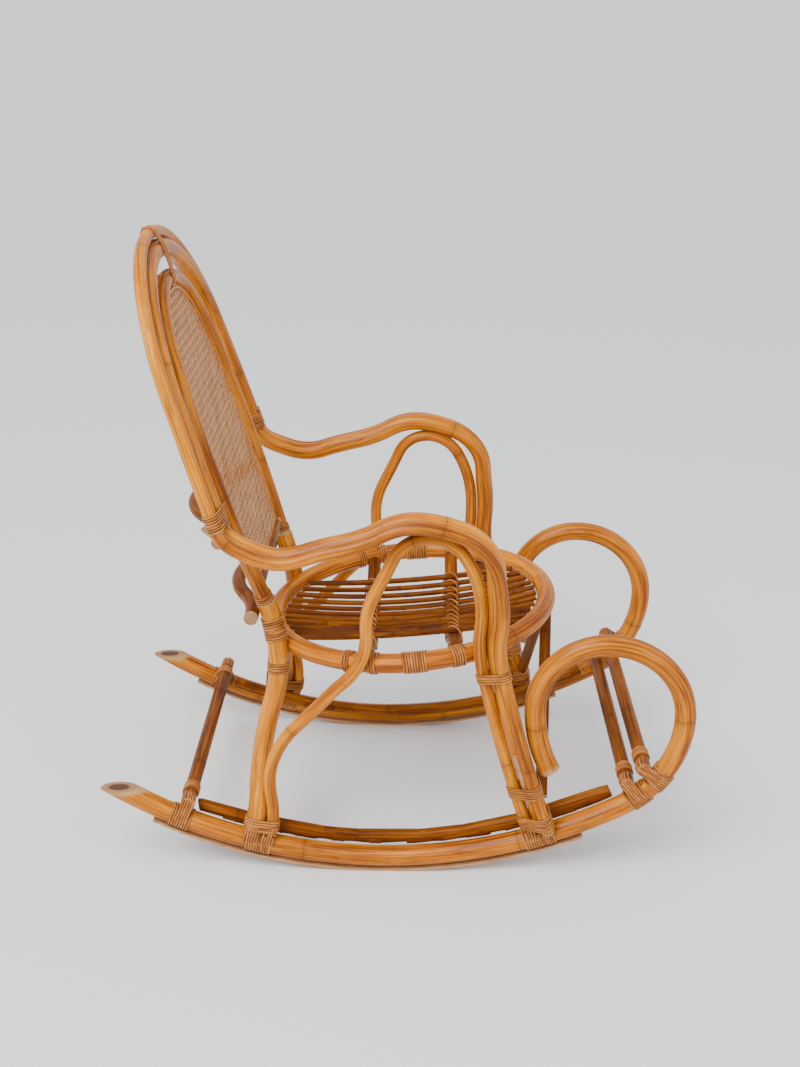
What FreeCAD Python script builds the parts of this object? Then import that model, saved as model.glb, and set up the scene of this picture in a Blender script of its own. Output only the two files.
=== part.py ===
import FreeCAD, Part
import Sketcher
import cmath
import math
import os
from FreeCAD import Placement, Rotation, Vector

# Rattan rocking chair. The chair faces +X, the sitter's right hand is at -Y and the floor is Z = 0.
# Millimetres and degrees. Distances along the chair are measured from the rockers' lowest point.
doc = FreeCAD.newDocument("rattan_rocking_chair")
sheet = doc.addObject("Spreadsheet::Sheet", "sizes")

DRIVING_SIZES = (
    # how closely poles lie against each other
    ("fit_gap", 0.3),
    # runners: a rocker arc that sweeps up in front and curls back to the front leg
    ("runner_gauge", 500), ("runner_dia", 35), ("rocker_radius", 817),
    ("rear_end_x", 453.3), ("sweep_x", 307.8),
    ("sweep_radius", 190), ("curl_front_radius", 132), ("curl_back_radius", 113),
    ("tail_radius", 250), ("tail_angle", 28), ("end_slant", 35), ("end_lip", 4),
    # rails against the runners' inner side, and the wear strips nailed under the runners
    ("rail_dia", 21), ("rail_front_x", 396.1), ("rail_lean", 52),
    ("strip_width", 22), ("strip_thick", 4), ("strip_rear_x", 370.9), ("strip_front_x", 332.3),
    ("flat_length", 70), ("nail_dia", 2.4), ("nail_head_dia", 5), ("nail_head_thick", 1.2),
    ("nail_depth", 12), ("rear_nail_x", 356.9), ("mid_nail_x", 113.7), ("front_nail_x", 319.2),
    # stretchers between the runners
    ("stretcher_dia", 24), ("stretcher_length", 524), ("rear_stretcher_x", 334.9),
    ("front_stretcher_angle", 41), ("toe_stretcher_angle", 55),
    # seat rim, its crossbars and the rods laid over them
    ("rim_radius", 240), ("rim_dia", 32), ("rim_tilt", 5.5), ("rim_centre_x", 47), ("rim_centre_z", 386),
    ("crossbar_dia", 24), ("crossbar_sag", 37), ("rear_crossbar_x", -23), ("front_crossbar_x", 122),
    ("rod_dia", 9.6), ("rod_count", 11), ("rod_pitch", 23),
    # the back plane, and the hoop round the cane panel in it; drops are from the top of that hoop
    ("back_tilt", 18.2), ("back_foot_x", -193), ("back_foot_z", 455),
    ("leg_dia", 33), ("panel_hoop_dia", 26), ("bead_dia", 8),
    ("cane_thick", 2), ("cane_across", 12), ("cane_web", 7),
    ("post_half", 155), ("panel_low_half", 178), ("panel_low_rise", 120),
    ("panel_half", 184), ("panel_rise", 240), ("panel_high_half", 170), ("panel_high_drop", 162),
    ("panel_shoulder_half", 128), ("panel_shoulder_drop", 58),
    ("panel_neck_half", 70), ("panel_neck_drop", 14), ("panel_top_rise", 528),
    ("bottom_rail_dia", 15), ("bottom_rail_rise", 26),
    # rear legs
    ("foot_half", 256.5), ("foot_gap", 2), ("leg_foot_x", 218.3),
    ("shin_x", -200), ("shin_half", 205), ("shin_z", 195), ("leg_rim_angle", 144.4),
    # back hoop and arms: one thick pole with a thin trim pole on its outer side. The hoop's neck and top rise
    # above the top of the panel's hoop
    ("arm_dia", 31), ("trim_dia", 21),
    ("splice_half", 258), ("splice_rise", 182), ("hoop_half", 250), ("hoop_rise", 310),
    ("hoop_high_half", 222), ("hoop_high_drop", 78), ("hoop_neck_half", 138), ("hoop_neck_rise", 12),
    ("hoop_top_rise", 48),
    ("arm_half", 264), ("arm_low_x", -183), ("arm_low_z", 581), ("arm_mid_x", -62), ("arm_mid_z", 600),
    ("crest_x", 68), ("crest_z", 638), ("knee_x", 169), ("knee_z", 588), ("knee_half", 260),
    ("leg_top_x", 185), ("leg_top_z", 508), ("leg_top_half", 254),
    ("arm_rim_angle", 58.8), ("calf_x", 209), ("calf_z", 310), ("calf_half", 244), ("arm_foot_x", 283.4),
    ("trim_forward", 6.5),
    # arm braces
    ("brace_dia", 21), ("brace_shin_x", -174), ("brace_shin_z", 214), ("brace_thigh_x", -88),
    ("brace_thigh_z", 324), ("brace_rim_angle", 109), ("brace_rise_x", -8), ("brace_rise_z", 517),
    ("brace_half", 262),
    # bows behind the back, and the props under the seat rim
    ("upper_bow_dia", 24), ("upper_bow_rise", 135), ("upper_bow_reach", 66),
    ("lower_bow_dia", 24), ("lower_bow_z", 438), ("lower_bow_reach", 40),
    ("prop_dia", 20), ("prop_top_half", 14), ("prop_foot_z", 132),
    # split peg tapped in beside the right front leg
    ("peg_dia", 9), ("peg_low_z", 150), ("peg_length", 84),
    # cane bindings: a strand wound in close turns, and stitched over the seat rods
    ("strand_dia", 2.6), ("strand_pitch", 4.4), ("stitch_lift", 1), ("leg_tie_z", 170), ("rim_tie_z", 368),
    ("side_tie_angle", 87.7), ("crossbar_tie_angle", 71),
)
for row, (alias, value) in enumerate(DRIVING_SIZES, start=1):
    sheet.set("A%d" % row, alias)
    sheet.set("B%d" % row, str(value))
    sheet.setAlias("B%d" % row, alias)
doc.recompute()


def size(alias):
    return float(sheet.get(alias))


# Vectors and bent routes

STRAIGHT = 1e-6
MIRROR = Vector(0, 1, 0)


def unit(vector):
    return vector / vector.Length


def tangent_arc(start, corner, end):
    # the arc that touches start-corner at start and corner-end at end
    middle = (start + end) / 2
    rise = corner - middle
    half_chord = (end - start).Length / 2
    if rise.Length < STRAIGHT * half_chord:
        return Part.LineSegment(start, end).toShape()
    slope = math.acos(min(1.0, half_chord / (corner - start).Length))
    return Part.Arc(start, middle + unit(rise) * half_chord * math.tan(slope / 2), end).toShape()


def biarc(start, heading_in, end, heading_out):
    # two arcs that meet smoothly, from start along heading_in to end along heading_out
    span = end - start
    along = span.dot(heading_in + heading_out)
    spread = 2 * (1 - heading_in.dot(heading_out))
    if spread < STRAIGHT:
        reach = span.dot(span) / (2 * along)
    else:
        reach = (math.sqrt(along ** 2 + spread * span.dot(span)) - along) / spread
    first_corner = start + heading_in * reach
    last_corner = end - heading_out * reach
    joint = (first_corner + last_corner) / 2
    return [tangent_arc(start, first_corner, joint), tangent_arc(joint, last_corner, end)]


class Route:
    # a smooth bent line through a few points, made of arcs that meet tangentially

    def __init__(self, points, first=None, last=None, along=None):
        # the headings at the ends, or at any point by its index in along, may be given
        self.points = points
        steps = [b - a for a, b in zip(points, points[1:])]
        inner = [unit(a / a.dot(a) + b / b.dot(b)) for a, b in zip(steps, steps[1:])]
        self.headings = [first or self.swung(steps[0], inner[0])] + inner
        self.headings.append(last or self.swung(steps[-1], inner[-1]))
        for index, heading in (along or {}).items():
            self.headings[index] = heading
        self.edges = []
        for index in range(len(steps)):
            self.edges += biarc(points[index], self.headings[index],
                                points[index + 1], self.headings[index + 1])

    @staticmethod
    def swung(step, heading):
        # the heading at the far end of a single arc over this step
        chord = unit(step)
        return chord * (2 * chord.dot(heading)) - heading


lines = {}


def add_pole(label, edges, dia):
    # a round pole of the sheet's diameter, swept along the edges
    lines[label] = (edges, size(dia) / 2)
    spine = doc.addObject("Part::Feature", label + "_line")
    spine.Shape = Part.Wire(edges)
    first = spine.Shape.Edges[0]
    ring = doc.addObject("Part::Circle", label + "_section")
    ring.setExpression("Radius", "sizes.%s / 2" % dia)
    ring.Placement = Placement(first.valueAt(first.FirstParameter),
                               Rotation(Vector(0, 0, 1), first.tangentAt(first.FirstParameter)))
    pole = doc.addObject("Part::Sweep", label)
    pole.Sections = [ring]
    pole.Spine = (spine, ["Edge%d" % (index + 1) for index in range(len(spine.Shape.Edges))])
    pole.Solid = True
    pole.Frenet = False
    return pole


def add_rod(label, start, end, dia):
    # a straight pole between two points
    lines[label] = ([Part.LineSegment(start, end).toShape()], size(dia) / 2)
    rod = doc.addObject("Part::Cylinder", label)
    rod.setExpression("Radius", "sizes.%s / 2" % dia)
    rod.Height = (end - start).Length
    rod.Placement = Placement(start, Rotation(Vector(0, 0, 1), end - start))
    return rod


def add_left(label, right):
    left = doc.addObject("Part::Mirroring", label)
    left.Source = right
    left.Normal = MIRROR
    return left


def plane_of(body, role):
    return [feature for feature in body.Origin.OriginFeatures if feature.Role == role][0]


def add_sketch(body, name, role, geometry):
    sketch = body.newObject("Sketcher::SketchObject", name)
    sketch.AttachmentSupport = [(plane_of(body, role), "")]
    sketch.MapMode = "FlatFace"
    sketch.addGeometry(geometry)
    return sketch


def bind(sketch, kind, target, alias, formula):
    index = sketch.addConstraint(Sketcher.Constraint(kind, *target))
    sketch.renameConstraint(index, alias)
    sketch.setExpression("Constraints." + alias, formula)


parts = {}

# Stance: the rocker's arc stands on its worn flats, and the overall length is centred on the origin

fit_gap = size("fit_gap")
strand = size("strand_dia")
side = size("runner_gauge") / 2
runner_r = size("runner_dia") / 2
rocker_radius = size("rocker_radius")
strand_room = strand + 2 * fit_gap
strip_inner = rocker_radius + runner_r + strand_room
strip_outer = strip_inner + size("strip_thick")
arc_height = math.sqrt(strip_outer ** 2 - (size("flat_length") / 2) ** 2)


def from_arc_centre(angle, radius):
    return Vector(radius * math.sin(math.radians(angle)), 0, -radius * math.cos(math.radians(angle)))


def turn_to(alias):
    # the angle at which the rocker arc is that far along the chair
    return math.degrees(math.asin(size(alias) / rocker_radius))


sweep_turn = math.degrees(math.asin(size("sweep_x") / (rocker_radius - size("sweep_radius"))))
sweep_centre = from_arc_centre(sweep_turn, rocker_radius - size("sweep_radius"))
front_reach = sweep_centre.x + size("sweep_radius") + runner_r
rear_reach = (rocker_radius + runner_r) * math.sin(math.radians(turn_to("rear_end_x")))
foot_x = (rear_reach - front_reach) / 2
arc_centre = Vector(foot_x, 0, arc_height)


def at(x, half, z):
    # a point on the sitter's right, from the rocker's lowest point
    return Vector(foot_x + x, -half, z)


def rocker(angle, lift=0.0):
    # a point over the right runner's rocker arc; the angle is positive towards the front
    return arc_centre + from_arc_centre(angle, rocker_radius - lift) + Vector(0, -side, 0)


def rocker_up(angle):
    return unit(arc_centre - Vector(0, side, 0) - rocker(angle))


def sweep_point(angle, lift):
    # a point over the right runner where it sweeps up in front
    from_sweep_centre = from_arc_centre(angle, size("sweep_radius") - lift)
    return arc_centre + sweep_centre + from_sweep_centre + Vector(0, -side, 0)


# Runners: five arcs in line, in an upright plane

def flat_arc(centre, radius, start, end):
    circle = Part.Circle(centre, Vector(0, 0, 1), radius)
    return Part.ArcOfCircle(circle, math.radians(start), math.radians(end))


curl_front = size("curl_front_radius")
curl_back = size("curl_back_radius")
sweep_at = Vector(foot_x + sweep_centre.x, arc_height + sweep_centre.z, 0)
curl_front_at = sweep_at + Vector(size("sweep_radius") - curl_front, 0, 0)
curl_back_at = curl_front_at + Vector(0, curl_front - curl_back, 0)
tail_at = curl_back_at + Vector(size("tail_radius") - curl_back, 0, 0)
runner_arcs = [
    flat_arc(Vector(foot_x, arc_height, 0), rocker_radius,
             270 - turn_to("rear_end_x"), 270 + sweep_turn),
    flat_arc(sweep_at, size("sweep_radius"), 270 + sweep_turn, 360),
    flat_arc(curl_front_at, curl_front, 0, 90),
    flat_arc(curl_back_at, curl_back, 90, 180),
    flat_arc(tail_at, size("tail_radius"), 180, 180 + size("tail_angle")),
]
runner_radii = ("rocker_radius", "sweep_radius", "curl_front_radius", "curl_back_radius", "tail_radius")

nail_angles = [-turn_to("rear_nail_x"), -turn_to("mid_nail_x"),
               turn_to("mid_nail_x"), turn_to("front_nail_x")]
nail_length = size("strip_thick") - size("nail_head_thick") + strand_room + size("nail_depth")


def nail_at(angle, gap):
    # a nail with its head sunk flush in the wear strip, grown by the gap
    head = arc_centre + from_arc_centre(angle, strip_outer - 2 * fit_gap) + Vector(0, -side, 0)
    up = rocker_up(angle)
    neck = head + up * size("nail_head_thick")
    shank = Part.makeCylinder(size("nail_dia") / 2 + gap, nail_length + gap, neck, up)
    below = (2 * fit_gap + size("strip_thick")) if gap else 0
    cap = Part.makeCylinder(size("nail_head_dia") / 2 + gap, size("nail_head_thick") + gap + below,
                            head - up * below, up)
    return shank.fuse(cap)


nail_holes = doc.addObject("Part::Feature", "nail_holes")
nail_holes.Shape = Part.makeCompound([nail_at(angle, fit_gap / 2) for angle in nail_angles])

runner_body = doc.addObject("PartDesign::Body", "runner_blank")
runner_path = add_sketch(runner_body, "runner_path", "XZ_Plane", runner_arcs)
for index, alias in enumerate(runner_radii):
    bind(runner_path, "Radius", (index, size(alias)), alias, "sizes." + alias)
runner_section = add_sketch(runner_body, "runner_section", "XY_Plane",
                            [Part.Circle(Vector(0, 0, 0), Vector(0, 0, 1), runner_r)])
bind(runner_section, "Radius", (0, runner_r), "section", "sizes.runner_dia / 2")
rear_turn = turn_to("rear_end_x")
rear_end = rocker(-rear_turn) + Vector(0, side, 0)
rear_heading = Vector(math.cos(math.radians(rear_turn)), 0, -math.sin(math.radians(rear_turn)))
runner_section.AttachmentOffset = Placement(rear_end, Rotation(Vector(0, 0, 1), rear_heading))
doc.recompute()
runner_pipe = runner_body.newObject("PartDesign::AdditivePipe", "runner_pipe")
runner_pipe.Profile = runner_section
runner_pipe.Spine = (runner_path, ["Edge%d" % (index + 1) for index in range(len(runner_arcs))])
runner_body.Placement = Placement(Vector(0, -side, 0), Rotation())
doc.recompute()

# the rear end is cut on a slant that faces up, down to a small lip
rear_up = rocker_up(-rear_turn)
slant = Rotation(Vector(0, 1, 0), -size("end_slant"))
slant_along = slant.multVec(rear_heading)
slant_up = slant.multVec(rear_up)
cut_corner = rear_end - Vector(0, side, 0) - rear_up * (runner_r - size("end_lip"))
rear_cut = doc.addObject("Part::Box", "rear_cut")
rear_cut.setExpression("Length", "4 * sizes.runner_dia")
rear_cut.setExpression("Width", "2 * sizes.runner_dia")
rear_cut.setExpression("Height", "2 * sizes.runner_dia")
cut_start = cut_corner - slant_along * size("runner_dia") - Vector(0, size("runner_dia"), 0)
rear_cut.Placement = Placement(cut_start, Rotation(slant_along, Vector(0, 1, 0), slant_up, "ZXY"))
cut_runner = doc.addObject("Part::Cut", "cut_runner")
cut_runner.Base = runner_body
cut_runner.Tool = rear_cut
right_runner = doc.addObject("Part::Cut", "right_runner")
right_runner.Base = cut_runner
right_runner.Tool = nail_holes
runner_lines = [
    Part.Arc(rocker(-rear_turn), rocker(0), rocker(sweep_turn)).toShape(),
    Part.Arc(sweep_point(sweep_turn, 0), sweep_point((sweep_turn + 90) / 2, 0), sweep_point(90, 0)).toShape(),
]
lines["right_runner"] = (runner_lines, runner_r)
parts["right_runner"] = right_runner
parts["left_runner"] = add_left("left_runner", right_runner)

# Stretchers lie across the runners on the bindings, and the rails lean on the runners' inner side

stretcher_lift = runner_r + strand_room + size("stretcher_dia") / 2
half_length = size("stretcher_length") / 2


def add_stretcher(label, over):
    middle = Vector(over.x, 0, over.z)
    reach = Vector(0, half_length, 0)
    parts[label] = add_rod(label, middle - reach, middle + reach, "stretcher_dia")


add_stretcher("rear_stretcher", rocker(-turn_to("rear_stretcher_x"), stretcher_lift))
add_stretcher("front_stretcher", sweep_point(size("front_stretcher_angle"), stretcher_lift))
add_stretcher("toe_stretcher", sweep_point(size("toe_stretcher_angle"), stretcher_lift))

rail_r = size("rail_dia") / 2
rail_offset = runner_r + strand_room + rail_r
rail_lift = rail_offset * math.cos(math.radians(size("rail_lean")))
rail_inward = Vector(0, rail_offset * math.sin(math.radians(size("rail_lean"))), 0)
rail_rear = turn_to("rear_stretcher_x") - math.degrees(
    (size("stretcher_dia") / 2 + rail_r) / (rocker_radius - stretcher_lift))
rail_line = Part.Arc(rocker(-rail_rear, rail_lift) + rail_inward, rocker(0, rail_lift) + rail_inward,
                     rocker(turn_to("rail_front_x"), rail_lift) + rail_inward).toShape()
parts["right_rail"] = add_pole("right_rail", [rail_line], "rail_dia")
parts["left_rail"] = add_left("left_rail", parts["right_rail"])


def foot(angle, lift=0.0):
    # where a pole stands on the bindings of the right runner
    spot = rocker(angle, runner_r + strand_room + lift)
    return Vector(spot.x, -size("foot_half"), spot.z)


# Wear strips: a band under each runner, outside its bindings, with a flat where it meets the floor

strip_start = 270 - turn_to("strip_rear_x")
strip_end = 270 + turn_to("strip_front_x")
flat_turn = math.degrees(math.asin(size("flat_length") / 2 / strip_outer))


def strip_point(angle, radius):
    return Vector(foot_x + radius * math.cos(math.radians(angle)),
                  arc_height + radius * math.sin(math.radians(angle)), 0)


arc_at = Vector(foot_x, arc_height, 0)
strip_body = doc.addObject("PartDesign::Body", "strip_blank")
strip_outline = add_sketch(strip_body, "strip_outline", "XZ_Plane", [
    flat_arc(arc_at, strip_inner, strip_start, strip_end),
    Part.LineSegment(strip_point(strip_end, strip_inner), strip_point(strip_end, strip_outer)),
    flat_arc(arc_at, strip_outer, 270 + flat_turn, strip_end),
    Part.LineSegment(strip_point(270 + flat_turn, strip_outer), strip_point(270 - flat_turn, strip_outer)),
    flat_arc(arc_at, strip_outer, strip_start, 270 - flat_turn),
    Part.LineSegment(strip_point(strip_start, strip_outer), strip_point(strip_start, strip_inner)),
])
doc.recompute()
strip_pad = strip_body.newObject("PartDesign::Pad", "strip_pad")
strip_pad.Profile = strip_outline
strip_pad.SideType = "Symmetric"
strip_pad.setExpression("Length", "sizes.strip_width")
strip_body.Placement = Placement(Vector(0, -side, 0), Rotation())
doc.recompute()
right_strip = doc.addObject("Part::Cut", "right_wear_strip")
right_strip.Base = strip_body
right_strip.Tool = nail_holes
parts["right_wear_strip"] = right_strip
parts["left_wear_strip"] = add_left("left_wear_strip", right_strip)

nails = [nail_at(angle, 0) for angle in nail_angles]
strip_nails = doc.addObject("Part::Feature", "strip_nails")
strip_nails.Shape = Part.makeCompound(nails + [nail.mirror(Vector(), MIRROR) for nail in nails])
parts["strip_nails"] = strip_nails

# Seat: a tilted round rim, two sagging crossbars and rods laid over them

rim_r = size("rim_dia") / 2
rim_centre = at(size("rim_centre_x"), 0, size("rim_centre_z"))
rim_forward = Vector(math.cos(math.radians(size("rim_tilt"))), 0, math.sin(math.radians(size("rim_tilt"))))
rim_slope = rim_forward.z / rim_forward.x


def rim_point(angle, outside=0.0, lift=0.0):
    # a point round the rim on the sitter's right; the angle is from straight ahead
    reach = size("rim_radius") + outside
    turn = math.radians(angle)
    return rim_centre + rim_forward * (reach * math.cos(turn)) + Vector(0, -reach * math.sin(turn), lift)


seat_rim = doc.addObject("Part::Torus", "seat_rim")
seat_rim.setExpression("Radius1", "sizes.rim_radius")
seat_rim.setExpression("Radius2", "sizes.rim_dia / 2")
seat_rim.Placement = Placement(rim_centre, Rotation(Vector(0, 1, 0), -size("rim_tilt")))
parts["seat_rim"] = seat_rim
rim_circle = Part.Circle(rim_centre, rim_forward.cross(Vector(0, 1, 0)), size("rim_radius"))
lines["seat_rim"] = ([rim_circle.toShape()], rim_r)

crossbar_r = size("crossbar_dia") / 2
rod_r = size("rod_dia") / 2
rim_inside = size("rim_radius") - rim_r - fit_gap


def rim_height(x):
    return size("rim_centre_z") + (x - size("rim_centre_x")) * rim_slope


def crossbar_half(x):
    # half the length of a crossbar whose flat ends butt against the bindings inside the rim
    inside = rim_inside - strand_room - crossbar_r ** 2 / (2 * rim_r)
    return math.sqrt(inside ** 2 - (abs(x - size("rim_centre_x")) + crossbar_r) ** 2)


def crossbar_line(x):
    half = crossbar_half(x)
    low = at(x, 0, rim_height(x) - size("crossbar_sag"))
    return Part.Arc(at(x, half, rim_height(x)), low, at(x, -half, rim_height(x))).toShape()


crossbars = {"rear_crossbar": size("rear_crossbar_x"), "front_crossbar": size("front_crossbar_x")}
for label, x in crossbars.items():
    parts[label] = add_pole(label, [crossbar_line(x)], "crossbar_dia")


def rod_height(x, y):
    # where a rod's centre line rests on a crossbar
    circle = crossbar_line(x).Curve
    reach = circle.Radius - crossbar_r - rod_r - fit_gap
    return circle.Center.z - math.sqrt(reach ** 2 - y ** 2)


def rod_route(y):
    end_gap = rim_inside - rod_r ** 2 / (2 * rim_r)
    reach = math.sqrt(end_gap ** 2 - (abs(y) + rod_r) ** 2)
    ends = [size("rim_centre_x") - reach * rim_forward.x, size("rim_centre_x") + reach * rim_forward.x]
    points = [at(ends[0], y, rim_height(ends[0]))]
    points += [at(x, y, rod_height(x, y)) for x in crossbars.values()]
    points.append(at(ends[1], y, rim_height(ends[1])))
    return Route(points)


rod_count = int(size("rod_count"))
rod_places = [(index - (rod_count - 1) / 2) * size("rod_pitch") for index in range(rod_count)]
for index, y in enumerate(rod_places, start=1):
    label = "seat_rod_%02d" % index
    parts[label] = add_pole(label, rod_route(y).edges, "rod_dia")

# Back plane: across is sideways, up is along the slope and out is towards the sitter

tilt = math.radians(size("back_tilt"))
back_up = Vector(-math.sin(tilt), 0, math.cos(tilt))
back_out = Vector(math.cos(tilt), 0, math.sin(tilt))
back_foot = at(size("back_foot_x"), 0, size("back_foot_z"))


def back(half, rise, out=0.0):
    return back_foot + back_up * rise + back_out * out + Vector(0, -half, 0)


def arch(spots, first=None, inset=0.0):
    # a hoop in the back plane through the spots of its right half, mirrored, and moved in by the inset
    right = [back(half, rise) for half, rise in spots]
    points = right + [Vector(p.x, -p.y, p.z) for p in reversed(right[:-1])]
    last = Vector(-first.x, first.y, -first.z) if first else None
    outer = Route(points, first, last)
    if not inset:
        return outer
    inner = [p + unit(heading.cross(back_out)) * inset for p, heading in zip(points, outer.headings)]
    return Route(inner, outer.headings[0], outer.headings[-1])


panel_top = size("panel_top_rise")
panel_spots = [
    (size("post_half"), 0),
    (size("panel_low_half"), size("panel_low_rise")),
    (size("panel_half"), size("panel_rise")),
    (size("panel_high_half"), panel_top - size("panel_high_drop")),
    (size("panel_shoulder_half"), panel_top - size("panel_shoulder_drop")),
    (size("panel_neck_half"), panel_top - size("panel_neck_drop")),
    (0, panel_top),
]


def post_half(rise):
    # how far out the panel hoop stands at this height
    for (low_half, low), (high_half, high) in zip(panel_spots, panel_spots[1:]):
        if rise <= high:
            return low_half + (high_half - low_half) * (rise - low) / (high - low)


panel_hoop = arch(panel_spots)
parts["panel_hoop"] = add_pole("panel_hoop", panel_hoop.edges, "panel_hoop_dia")

# Rear legs stand on the runners' bindings, pass outside the seat rim and meet the panel hoop end to end

leg_r = size("leg_dia") / 2
leg = Route([
    foot(-turn_to("leg_foot_x")),
    at(size("shin_x"), size("shin_half"), size("shin_z")),
    rim_point(size("leg_rim_angle"), rim_r + leg_r + fit_gap),
    back(size("post_half"), 0) - panel_hoop.headings[0] * fit_gap,
], rocker_up(-turn_to("leg_foot_x")), panel_hoop.headings[0])
parts["right_rear_leg"] = add_pole("right_rear_leg", leg.edges, "leg_dia")
parts["left_rear_leg"] = add_left("left_rear_leg", parts["right_rear_leg"])

# Cane panel in its bead, over a bottom rail between the posts

bead_r = size("bead_dia") / 2
hoop_r = size("panel_hoop_dia") / 2
post_at_rail = post_half(size("bottom_rail_rise"))
bottom_rail_half = post_at_rail - hoop_r - 2 * fit_gap
parts["panel_bottom_rail"] = add_rod("panel_bottom_rail", back(bottom_rail_half, size("bottom_rail_rise")),
                                     back(-bottom_rail_half, size("bottom_rail_rise")), "bottom_rail_dia")
bead_foot = size("bottom_rail_rise") + size("bottom_rail_dia") / 2 + fit_gap
bead_top = panel_top - strand_room
bead_spots = [(post_at_rail, bead_foot)] + panel_spots[1:-1] + [(0, bead_top)]
bead_inset = hoop_r + bead_r + 3 * fit_gap
bead = arch(bead_spots, back_up, bead_inset)
parts["cane_bead"] = add_pole("cane_bead", bead.edges, "bead_dia")

cane_inset = bead_inset + bead_r + fit_gap
cane_edge = arch(bead_spots, back_up, cane_inset)
cane_frame = Placement(back(0, 0, -size("cane_thick") / 2),
                       Rotation(Vector(0, 1, 0), back_up, back_out, "ZXY"))
to_panel = cane_frame.inverse()
cane_arcs = []
for edge in cane_edge.edges:
    middle = (edge.FirstParameter + edge.LastParameter) / 2
    shares = (edge.FirstParameter, middle, edge.LastParameter)
    spots = [to_panel.multVec(edge.valueAt(share)) for share in shares]
    for spot in spots:
        spot.z = 0
    cane_arcs.append(Part.Arc(*spots))
cane_foot = [to_panel.multVec(point) for point in (cane_edge.points[-1], cane_edge.points[0])]
cane_body = doc.addObject("PartDesign::Body", "cane_sheet")
cane_outline = add_sketch(cane_body, "cane_outline", "XY_Plane",
                          cane_arcs + [Part.LineSegment(Vector(cane_foot[0].x, cane_foot[0].y, 0),
                                                        Vector(cane_foot[1].x, cane_foot[1].y, 0))])
doc.recompute()
cane_pad = cane_body.newObject("PartDesign::Pad", "cane_pad")
cane_pad.Profile = cane_outline
cane_pad.setExpression("Length", "sizes.cane_thick")
cane_body.Placement = cane_frame
doc.recompute()

# the weave's openings, as a plain grid that keeps clear of the sheet's edge
cane_columns = int(size("cane_across"))
cane_pitch = 2 * (size("panel_half") - cane_inset) / cane_columns
cane_gap = cane_pitch - size("cane_web")
cane_margin = math.hypot(cane_gap, cane_gap) / 2 + size("cane_web") / 2
cane_foot_edge = Part.LineSegment(cane_edge.points[-1], cane_edge.points[0]).toShape()
cane_border = Part.Wire(cane_edge.edges + [cane_foot_edge])
cane_inside = Part.Face(cane_border)
opening_blocks = []
for row in range(int(panel_top / cane_pitch)):
    for column in range(cane_columns):
        half = (column - (cane_columns - 1) / 2) * cane_pitch
        rise = bead_foot + (row + 0.5) * cane_pitch + size("cane_web") / 2
        middle = back(half, rise)
        near_edge = cane_border.distToShape(Part.Vertex(middle))[0] < cane_margin
        if near_edge or not cane_inside.isInside(middle, fit_gap, False):
            continue
        block = Part.makeBox(cane_gap, cane_gap, 3 * size("cane_thick"),
                             Vector(-cane_gap / 2, -cane_gap / 2, -size("cane_thick")))
        block.Placement = Placement(back(half, rise, -size("cane_thick") / 2), cane_frame.Rotation)
        opening_blocks.append(block)
cane_openings = doc.addObject("Part::Feature", "cane_openings")
cane_openings.Shape = Part.makeCompound(opening_blocks)
cane_panel = doc.addObject("Part::Cut", "cane_panel")
cane_panel.Base = cane_body
cane_panel.Tool = cane_openings
parts["cane_panel"] = cane_panel

# Back hoop and arms, with the trim pole along their outer side

arm_r = size("arm_dia") / 2
trim_r = size("trim_dia") / 2
trim_offset = arm_r + trim_r + 4 * fit_gap
hoop_spots = [
    (size("splice_half"), size("splice_rise")),
    (size("hoop_half"), size("hoop_rise")),
    (size("hoop_high_half"), panel_top - size("hoop_high_drop")),
    (size("hoop_neck_half"), panel_top + size("hoop_neck_rise")),
    (0, panel_top + size("hoop_top_rise")),
]
back_hoop = arch(hoop_spots, back_up)
parts["back_hoop"] = add_pole("back_hoop", back_hoop.edges, "arm_dia")
back_trim = arch(hoop_spots, back_up, -trim_offset)
parts["back_trim"] = add_pole("back_trim", back_trim.edges, "trim_dia")

splice_gap = back_up * fit_gap
arm = Route([
    back_hoop.points[0] - splice_gap,
    at(size("arm_low_x"), size("arm_half"), size("arm_low_z")),
    at(size("arm_mid_x"), size("arm_half"), size("arm_mid_z")),
    at(size("crest_x"), size("arm_half"), size("crest_z")),
    at(size("knee_x"), size("knee_half"), size("knee_z")),
    at(size("leg_top_x"), size("leg_top_half"), size("leg_top_z")),
    rim_point(size("arm_rim_angle"), rim_r + arm_r + fit_gap),
    at(size("calf_x"), size("calf_half"), size("calf_z")),
    foot(turn_to("arm_foot_x")),
], -back_up, -rocker_up(turn_to("arm_foot_x")))
parts["right_arm"] = add_pole("right_arm", arm.edges, "arm_dia")
parts["left_arm"] = add_left("left_arm", parts["right_arm"])


def beside(heading, direction, spacing):
    # a step square to a pole's heading, as near this direction as can be
    return unit(direction - heading * heading.dot(direction)) * spacing


# down the front leg the trim pole stands a little ahead of the arm pole
outward = Vector(0, -1, 0)
ahead = Vector(size("trim_forward"), -math.sqrt(trim_offset ** 2 - size("trim_forward") ** 2), 0)
trim_sides = [outward] * 5 + [ahead] * 4
trim = Route([point + beside(heading, direction, trim_offset)
              for point, heading, direction in zip(arm.points, arm.headings, trim_sides)],
             along=dict(enumerate(arm.headings)))
parts["right_arm_trim"] = add_pole("right_arm_trim", trim.edges, "trim_dia")
parts["left_arm_trim"] = add_left("left_arm_trim", parts["right_arm_trim"])

# Arm braces: up from the rear foot, past the rim, under the arm and down behind the front leg

brace_r = size("brace_dia") / 2
backward = Vector(-1, 0, 0)
brace_offset = arm_r + brace_r + 2 * fit_gap


def foot_turn(spacing):
    return math.degrees(spacing / (rocker_radius - runner_r - strand_room))


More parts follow.
